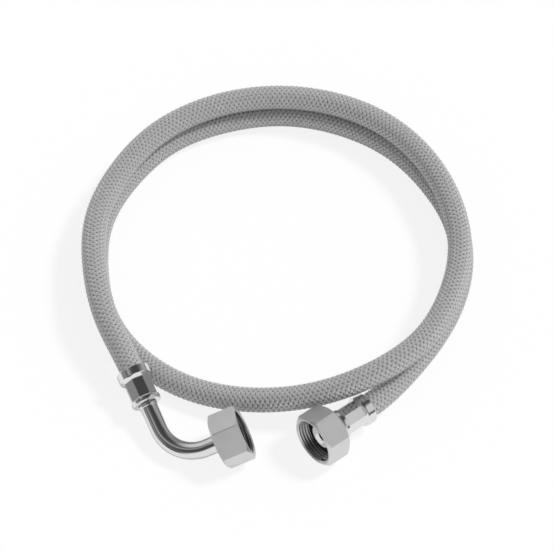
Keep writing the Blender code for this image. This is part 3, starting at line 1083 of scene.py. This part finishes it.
class HoseRoute:
    """The hose's centre line, with a frame that turns as little as it can along it."""

    dense_steps = 40
    pinch_depths = (2.5 * MM, 6.5 * MM)
    pinch_scales = (1.0, 0.9)

    def __init__(self, spacing: float = 1.0 * MM, inside: float = 18.9 * MM) -> None:
        """Sample the route from inside one ferrule to inside the other.

        Args:
            spacing: Distance between two points.
            inside: How far the hose reaches into each ferrule.
        """
        self.inside = inside
        self.points = self._sampled(spacing)
        steps = np.linalg.norm(np.diff(self.points, axis=0), axis=1)
        self.stations = np.concatenate(([0.0], np.cumsum(steps))) - inside
        self.length = float(self.stations[-1] - inside)
        self.tangents = np.gradient(self.points, axis=0)
        self.tangents /= np.linalg.norm(self.tangents, axis=1)[:, None]
        self.sides = self._carried_sides()

    def _sampled(self, spacing: float) -> np.ndarray:
        """Lay evenly spaced points along the whole route.

        Args:
            spacing: Distance between two points.

        Returns:
            The points, one row of three for each.
        """
        shaped = [np.array(point) * MM + np.array(COIL_CENTRE) for point in HOSE_WAY]
        way = np.array([np.array(ELBOW_MOUTH), *shaped, np.array(STRAIGHT_MOUTH)])
        free = self._spline(way, -np.array(ELBOW_AXIS_IN), np.array(STRAIGHT_AXIS))
        in_elbow = way[0] + np.array(ELBOW_AXIS_IN) * self.inside
        in_straight = way[-1] + np.array(STRAIGHT_AXIS) * self.inside
        rough = np.array([in_elbow, *free, in_straight])
        lengths = np.concatenate(([0.0], np.cumsum(np.linalg.norm(np.diff(rough, axis=0), axis=1))))
        even = np.linspace(0.0, lengths[-1], round(lengths[-1] / spacing) + 1)
        return np.stack([np.interp(even, lengths, rough[:, axis]) for axis in range(3)], axis=1)

    def _spline(self, way: np.ndarray, first: np.ndarray, last: np.ndarray) -> np.ndarray:
        """Draw a cubic spline through the way.

        Args:
            way: The points that it passes.
            first: Its direction at the first point.
            last: Its direction at the last point.

        Returns:
            Dense points along it.
        """
        spans = np.linalg.norm(np.diff(way, axis=0), axis=1)
        count = len(way)
        matrix = np.eye(count)
        target = np.zeros((count, 3))
        target[0] = first
        target[-1] = last
        slopes = np.diff(way, axis=0) / spans[:, None]
        for index in range(1, count - 1):
            before = spans[index - 1]
            after = spans[index]
            matrix[index, index - 1 : index + 2] = (after, 2.0 * (before + after), before)
            target[index] = 3.0 * (after * slopes[index - 1] + before * slopes[index])
        directions = np.linalg.solve(matrix, target)
        dense = []
        for index, span in enumerate(spans):
            for t in np.linspace(0.0, 1.0, self.dense_steps, endpoint=False):
                start = (1.0 + 2.0 * t) * (1.0 - t) ** 2 * way[index]
                end = t * t * (3.0 - 2.0 * t) * way[index + 1]
                bend = t * (1.0 - t) ** 2 * directions[index] - t * t * (1.0 - t) * directions[index + 1]
                dense.append(start + end + span * bend)
        dense.append(way[-1])
        return np.array(dense)

    def _carried_sides(self) -> np.ndarray:
        """Carry one sideways direction along the route without twist.

        Returns:
            The direction at each point.
        """
        side = np.cross((0.0, 0.0, 1.0), self.tangents[0])
        sides = []
        for tangent in self.tangents:
            side = side - tangent * float(side @ tangent)
            side = side / np.linalg.norm(side)
            sides.append(side)
        return np.array(sides)

    def surface(self, station: np.ndarray, angle: np.ndarray, radius: np.ndarray) -> np.ndarray:
        """Return points round the centre line.

        Args:
            station: Distance along the hose from the elbow end's mouth.
            angle: Angle round it.
            radius: Distance from it.

        Returns:
            The points, one row of three for each.
        """
        centre = self._at(self.points, station)
        tangent = self._at(self.tangents, station)
        side = self._at(self.sides, station)
        top = np.cross(tangent, side)
        outward = np.cos(angle)[..., None] * side + np.sin(angle)[..., None] * top
        return centre + radius[..., None] * outward

    def _at(self, values: np.ndarray, station: np.ndarray) -> np.ndarray:
        """Interpolate a list of vectors at stations."""
        return np.stack([np.interp(station, self.stations, values[:, axis]) for axis in range(3)], axis=-1)

    def squeeze(self, station: np.ndarray) -> np.ndarray:
        """Return how far the ferrules pinch the hose at each station, 1 where it is free."""
        inward = np.maximum(-station, station - self.length)
        return np.interp(inward, self.pinch_depths, self.pinch_scales)


class Lay(Enum):
    """Which way a set of woven bundles winds."""

    RIGHT = 1
    LEFT = -1


@dataclass
class WovenBraid:
    """One of the two sets of flat wire bundles that are woven over the hose."""

    name: str
    lay: Lay
    bundles: int = 10
    spacing: float = 2.84 * MM
    radius: float = 6.56 * MM
    wave: float = 0.3 * MM
    width: float = 2.04 * MM
    thickness: float = 0.52 * MM
    crown: float = 0.96
    samples: int = 4
    corners: int = 5
    depth: float = 7.0 * MM

    def build(self, route: HoseRoute, finish: WovenWire) -> Piece:
        """Model the set of bundles along the route.

        Args:
            route: The hose's centre line.
            finish: The wires' finish.

        Returns:
            The finished set.
        """
        points = self._points(route)
        obj = self._mesh(points)
        self._write_map(obj, points.shape)
        select_only(obj)
        bpy.ops.object.mode_set(mode="EDIT")
        bpy.ops.mesh.select_all(action="SELECT")
        bpy.ops.mesh.normals_make_consistent(inside=False)
        bpy.ops.object.mode_set(mode="OBJECT")
        smooth(obj, math.radians(60.0))
        return Piece(obj, Slot.BRAID, finish)

    def _points(self, route: HoseRoute) -> np.ndarray:
        """Place the corners of every bundle, which passes over and under the bundles of the other lay.

        Args:
            route: The hose's centre line.

        Returns:
            The places by bundle, station and corner.
        """
        across = np.linspace(-1.0, 1.0, self.corners)
        count = int((route.length + 2.0 * self.depth) / self.spacing * self.samples)
        along = np.linspace(-self.depth, route.length + self.depth, count + 1)
        bundle, station, side = np.meshgrid(np.arange(self.bundles), along, across, indexing="ij")
        turn = self.lay.value
        rise = self.bundles * self.spacing
        lean = math.atan(math.tau * self.radius / rise)
        offset = side * self.width / 2.0
        angle = math.tau * (bundle / self.bundles + turn * station / rise)
        angle = angle + offset * math.cos(lean) / self.radius
        place = station - turn * offset * math.sin(lean)
        crossing = self.bundles * angle / math.tau + turn * place / self.spacing - bundle
        height = turn * self.wave * np.cos(math.pi * crossing)
        swell = self.thickness * (np.sqrt(1.0 - self.crown * side**2) - 0.5)
        radius = (self.radius + height + swell) * route.squeeze(place)
        return route.surface(place, angle, radius)

    def _mesh(self, points: np.ndarray) -> bpy.types.Object:
        """Join the bundles' points into one mesh with closed ends.

        Args:
            points: The places by bundle, station and corner.

        Returns:
            The new object.
        """
        count = points.shape[1] - 1
        ring = points.shape[2]
        faces = []
        for bundle in range(self.bundles):
            start = bundle * (count + 1) * ring
            for step in range(count):
                here = start + step * ring
                for corner in range(ring):
                    after = (corner + 1) % ring
                    faces.append((here + corner, here + after, here + ring + after, here + ring + corner))
            faces.append(tuple(start + corner for corner in range(ring)))
            last = start + count * ring
            faces.append(tuple(last + corner for corner in reversed(range(ring))))
        data = bpy.data.meshes.new(self.name)
        data.from_pydata(points.reshape(-1, 3).tolist(), [], faces)
        obj = bpy.data.objects.new(self.name, data)
        bpy.context.scene.collection.objects.link(obj)
        return obj

    @staticmethod
    def _write_map(obj: bpy.types.Object, shape: tuple[int, ...]) -> None:
        """Write each corner's place across and along its bundle.

        Args:
            obj: The bundles.
            shape: How many bundles, stations and corners there are.
        """
        loops = np.empty(len(obj.data.loops), dtype=np.int64)
        obj.data.loops.foreach_get("vertex_index", loops)
        across = (loops % shape[2]) / (shape[2] - 1)
        along = (loops // shape[2]) % shape[1]
        values = np.stack((across, along * 0.1), axis=1).astype(np.float32)
        layer = obj.data.uv_layers.new(name=WEAVE_MAP)
        layer.data.foreach_set("uv", values.ravel())


@dataclass
class HoseLiner:
    """The rubber hose under the braid."""

    name: str = "hose_liner"
    radius: float = 6.1 * MM
    diameter: float = 14.0 * MM
    length: float = 1.2
    stride: int = 4

    def build(self, route: HoseRoute, finish: MattRubber) -> Piece:
        """Model the liner as one open spline along the route.

        Args:
            route: The hose's centre line.
            finish: The liner's rubber.

        Returns:
            The finished liner.
        """
        curve = bpy.data.curves.new(self.name, "CURVE")
        curve.dimensions = "3D"
        curve.bevel_depth = self.radius
        curve.bevel_resolution = 6
        curve.use_fill_caps = True
        spline = curve.splines.new("POLY")
        stations = route.stations[:: self.stride]
        points = route.points[:: self.stride]
        spline.points.add(len(points) - 1)
        for point, place, squeeze in zip(spline.points, points, route.squeeze(stations)):
            point.co = (*place, 1.0)
            point.radius = squeeze
        spline.use_smooth = True
        obj = bpy.data.objects.new(self.name, curve)
        bpy.context.scene.collection.objects.link(obj)
        return Piece(obj, Slot.LINER, finish)

    def declare(self, core: Piece, others: list[Piece]) -> None:
        """Say that the liner is a free hose with a fitting at its far end.

        Args:
            core: The finished liner; not used.
            others: The pieces on it: the braid, and the fitting at its far end; not used.
        """


@dataclass(frozen=True)
class SoftBox:
    """A soft-edged patch of the room, lit or dark, as reflections see it. Angles are in degrees."""

    heading: float
    elevation: float
    inner: float
    outer: float
    level: float

    def over(self, maker: NodeMaker, way: Socket, below: "Socket | tuple") -> Socket:
        """Lay this patch over the room.

        Args:
            maker: The maker of the world's nodes.
            way: The direction that is looked in.
            below: The room's colour so far.

        Returns:
            The room's colour with the patch.
        """
        middle = direction(math.radians(self.heading), math.radians(self.elevation))
        dot = {"operation": "DOT_PRODUCT"}
        near = maker.node("ShaderNodeVectorMath", dot, {0: way, 1: middle}, out="Value")
        edge = math.cos(math.radians(self.outer))
        factor = near.above(edge, math.cos(math.radians(self.inner)) - edge)
        return maker.mix(factor, below, grey(self.level, blue=0.0))


FLOOR_WHITE = 1.055
FLOOR_SHARE = 0.2
FLOOR_IN_METAL = 0.45
EVEN_LIGHT = 0.41
DIM_ROOM = grey(0.11, blue=0.0)
SOFT_BOXES = (
    SoftBox(-90.0, 0.0, 25.0, 44.0, 0.86),
    SoftBox(-3.0, 32.0, 22.0, 36.0, 0.63),
    SoftBox(45.0, 5.0, 20.0, 34.0, 0.38),
    SoftBox(90.0, 35.0, 20.0, 32.0, 0.24),
    SoftBox(135.0, 32.0, 18.0, 36.0, 0.68),
    SoftBox(60.0, 76.0, 14.0, 30.0, 0.06),
    SoftBox(-125.0, 55.0, 12.0, 26.0, 0.07),
    SoftBox(-172.0, 12.0, 16.0, 26.0, 0.24),
    SoftBox(-24.0, 6.0, 6.0, 12.0, 0.14),
    SoftBox(-170.0, 54.0, 6.0, 13.0, 0.34),
)


@dataclass(frozen=True)
class Studio:
    """The camera, the pale floor and the soft light."""

    elevation: float = math.radians(57.0)
    distance: float = 1.75
    lens: float = 196.3
    floor_size: float = 12.0
    sun_turn: tuple[float, float, float] = (math.radians(-10.0), math.radians(35.0), 0.0)
    sun_strength: float = 2.15
    sun_width: float = math.radians(12.0)

    def build(self) -> None:
        """Make the camera, the floor and the lights."""
        self._camera()
        self._floor()
        self._world()
        self._sun()
        bpy.context.scene.view_settings.view_transform = "Standard"

    def _camera(self) -> None:
        """Make the camera that looks down at the middle of the coil."""
        data = bpy.data.cameras.new("camera")
        data.lens = self.lens
        data.clip_end = 50.0
        camera = bpy.data.objects.new("camera", data)
        back = Vector((0.0, -math.cos(self.elevation), math.sin(self.elevation)))
        camera.location = COIL_CENTRE + back * self.distance
        camera.rotation_euler = (math.pi / 2.0 - self.elevation, 0.0, 0.0)
        bpy.context.scene.collection.objects.link(camera)
        bpy.context.scene.camera = camera

    def _floor(self) -> None:
        """Make the pale floor, which keeps a part of the object's shadow."""
        bpy.ops.object.select_all(action="DESELECT")
        bpy.ops.mesh.primitive_plane_add(size=self.floor_size, location=(COIL_CENTRE.x, COIL_CENTRE.y, 0.0))
        floor = bpy.context.object
        floor.name = "floor"
        material, maker = new_material("pale_floor")
        matt = maker.node("ShaderNodeBsdfDiffuse", inputs={"Color": grey(0.8, blue=0.0)})
        dim = maker.node("ShaderNodeBsdfDiffuse", inputs={"Color": grey(0.25, blue=0.0)})
        glossy = maker.ray("Is Glossy Ray")
        seen = maker.ray("Is Camera Ray").largest(glossy).largest(maker.ray("Is Transmission Ray"))
        white = maker.node("ShaderNodeEmission", inputs={"Color": WHITE, "Strength": FLOOR_WHITE})
        share = glossy * FLOOR_IN_METAL + FLOOR_SHARE
        lit = maker.node("ShaderNodeMixShader", inputs={0: share, 1: white, 2: matt})
        shown = maker.node("ShaderNodeMixShader", inputs={0: seen, 1: dim, 2: lit})
        maker.node("ShaderNodeOutputMaterial", inputs={"Surface": shown})
        floor.data.materials.append(material)

    def _world(self) -> None:
        """Make the room: white for the camera, soft boxes for reflections, and even light for the rest."""
        world = bpy.data.worlds.new("room")
        bpy.context.scene.world = world
        world.use_nodes = True
        maker = NodeMaker(world.node_tree)
        way = maker.node("ShaderNodeTexCoord", out="Generated")
        level = DIM_ROOM
        for box in SOFT_BOXES:
            level = box.over(maker, way, level)
        room = maker.node("ShaderNodeBackground", inputs={"Color": level, "Strength": 1.0})
        even = maker.node("ShaderNodeBackground", inputs={"Color": WHITE, "Strength": EVEN_LIGHT})
        white = maker.node("ShaderNodeBackground", inputs={"Color": WHITE, "Strength": 1.0})
        seen = maker.ray("Is Camera Ray").largest(maker.ray("Is Transmission Ray"))
        lit = maker.node("ShaderNodeMixShader", inputs={0: maker.ray("Is Glossy Ray"), 1: even, 2: room})
        shown = maker.node("ShaderNodeMixShader", inputs={0: seen, 1: lit, 2: white})
        maker.node("ShaderNodeOutputWorld", inputs={"Surface": shown})

    def _sun(self) -> None:
        """Make the soft sun, which reflections don't show."""
        data = bpy.data.lights.new("key_sun", "SUN")
        data.energy = self.sun_strength
        data.angle = self.sun_width
        light = bpy.data.objects.new("key_sun", data)
        light.rotation_euler = self.sun_turn
        light.visible_glossy = False
        bpy.context.scene.collection.objects.link(light)


class Finishes:
    """The finishes of all pieces."""

    nut = PlatedMetal(
        name="satin_plating",
        colour=grey(0.8),
        tarnish=grey(0.7),
        roughness=0.34,
        smudge=0.08,
        grain=0.2,
        metallic=0.88,
    )
    # Painted shade: the nut's plating made darker inside its threaded bore.
    thread = PlatedMetal(
        name="threaded_bore_painted_shade",
        colour=grey(0.4),
        tarnish=grey(0.28),
        roughness=0.3,
        smudge=0.08,
        grain=0.2,
    )
    # Painted shade: near-black plating for the deep water bore.
    bore = PlatedMetal(
        name="bore_painted_shade",
        colour=grey(0.03, blue=0.0),
        tarnish=grey(0.02, blue=0.0),
        roughness=0.6,
        smudge=0.0,
        grain=0.1,
    )
    ferrule = PlatedMetal(
        name="bright_steel",
        colour=grey(0.88, blue=0.0),
        tarnish=grey(0.7),
        roughness=0.12,
        smudge=0.06,
        grain=0.1,
    )
    tube = PlatedMetal(
        name="polished_plating",
        colour=grey(0.84),
        tarnish=grey(0.74),
        roughness=0.08,
        smudge=0.04,
        grain=0.05,
    )
    braid = WovenWire(
        name="woven_wire",
        wires=7,
        bright=grey(0.78),
        # painted shade of the grooves and bundle edges
        groove_shade_and_speck=grey(0.28),
        roughness=0.33,
        metallic=0.45,
    )
    liner = MattRubber(
        name="liner_rubber",
        colour=grey(0.05, blue=0.0),
        worn=grey(0.08, blue=0.0),
        roughness=0.6,
    )
    washer = MattRubber(
        name="washer_rubber",
        colour=grey(0.012, blue=0.001),
        worn=grey(0.02, blue=0.0),
        roughness=0.5,
    )


@dataclass
class StraightEnd:
    """The straight end: ferrule, tail, washer and nut."""

    bell_radius: float = 9.1 * MM
    nut_back: float = 24.5 * MM
    nut_length: float = 15.0 * MM
    washer_face: float = 8.4 * MM
    ferrule_roll: float = math.radians(-7.0)
    nut_roll: float = math.radians(-55.7)

    def build(self) -> list[Piece]:
        """Model the end's pieces.

        Returns:
            The pieces.
        """
        level = level_frame(STRAIGHT_MOUTH, STRAIGHT_AXIS)
        ferrule = CrimpedFerrule("straight_end_ferrule", self.bell_radius)
        crimped = ferrule.build(level.rolled(self.ferrule_roll), Finishes.ferrule)
        crimped.replaces("straight_ferrule")
        tail = StraightTail(self.nut_back + FLANGE_IN_NUT).build(level, Finishes.tube)
        tail.replaces("straight_tail")
        back = level.moved(self.nut_back)
        washer = FlatWasher("straight_end_washer").build(back.moved(self.washer_face), Finishes.washer)
        washer.replaces("straight_washer")
        nut = UnionNut("straight_end_nut", "straight_nut", self.nut_length)
        swivel = nut.build(back.rolled(self.nut_roll), Finishes.nut).replaces("straight_nut")
        return [crimped, tail, washer, swivel]


@dataclass
class ElbowEnd:
    """The elbow end: ferrule, bent tube, washer and nut."""

    bell_radius: float = 9.6 * MM
    nut_length: float = 16.5 * MM
    washer_face: float = 8.4 * MM
    ferrule_roll: float = math.radians(6.0)
    nut_roll: float = math.radians(-49.9)

    def build(self) -> list[Piece]:
        """Model the end's pieces.

        Returns:
            The pieces.
        """
        bend_axis = ELBOW_AXIS_IN.cross(ELBOW_AXIS_OUT).normalized()
        hose_end = EndFrame(ELBOW_MOUTH, bend_axis.cross(ELBOW_AXIS_IN), bend_axis, ELBOW_AXIS_IN)
        ferrule = CrimpedFerrule("elbow_end_ferrule", self.bell_radius)
        crimped = ferrule.build(hose_end.rolled(self.ferrule_roll), Finishes.ferrule)
        crimped.replaces("elbow_ferrule")
        tube = BentTube(ELBOW_AXIS_IN.angle(ELBOW_AXIS_OUT))
        bent = tube.build(hose_end, Finishes.tube).replaces("elbow_pipe")
        corner = ELBOW_MOUTH + ELBOW_AXIS_IN * (tube.bend_start + tube.tangent())
        back = level_frame(corner, ELBOW_AXIS_OUT).moved(tube.tangent() + tube.after_bend)
        washer = FlatWasher("elbow_end_washer").build(back.moved(self.washer_face), Finishes.washer)
        washer.replaces("elbow_washer")
        nut = UnionNut("elbow_end_nut", "elbow_nut", self.nut_length)
        swivel = nut.build(back.rolled(self.nut_roll), Finishes.nut).replaces("elbow_nut")
        return [crimped, bent, washer, swivel]


class Hose:
    """The braided hose between the two ends."""

    def build(self) -> tuple[HoseLiner, Piece, list[Piece]]:
        """Model the liner and the woven braid.

        Returns:
            The liner's sizes, its finished piece, and the two lays of the braid.
        """
        route = HoseRoute()
        log.info("the hose is %.1f mm long between its mouths", route.length / MM)
        liner = HoseLiner()
        core = liner.build(route, Finishes.liner).replaces("inner_tube")
        right = WovenBraid("braid_right_lay", Lay.RIGHT).build(route, Finishes.braid)
        right.replaces("hose_braid")
        left = WovenBraid("braid_left_lay", Lay.LEFT).build(route, Finishes.braid)
        return liner, core, [right, left]


def main() -> None:
    """Build the studio, the hose and both ends."""
    logging.basicConfig(level=logging.INFO, format="%(message)s")
    Studio().build()
    liner, core, braid = Hose().build()
    far_end = StraightEnd().build()
    ElbowEnd().build()
    liner.declare(core, braid + far_end)


if __name__ == "__main__":
    main()
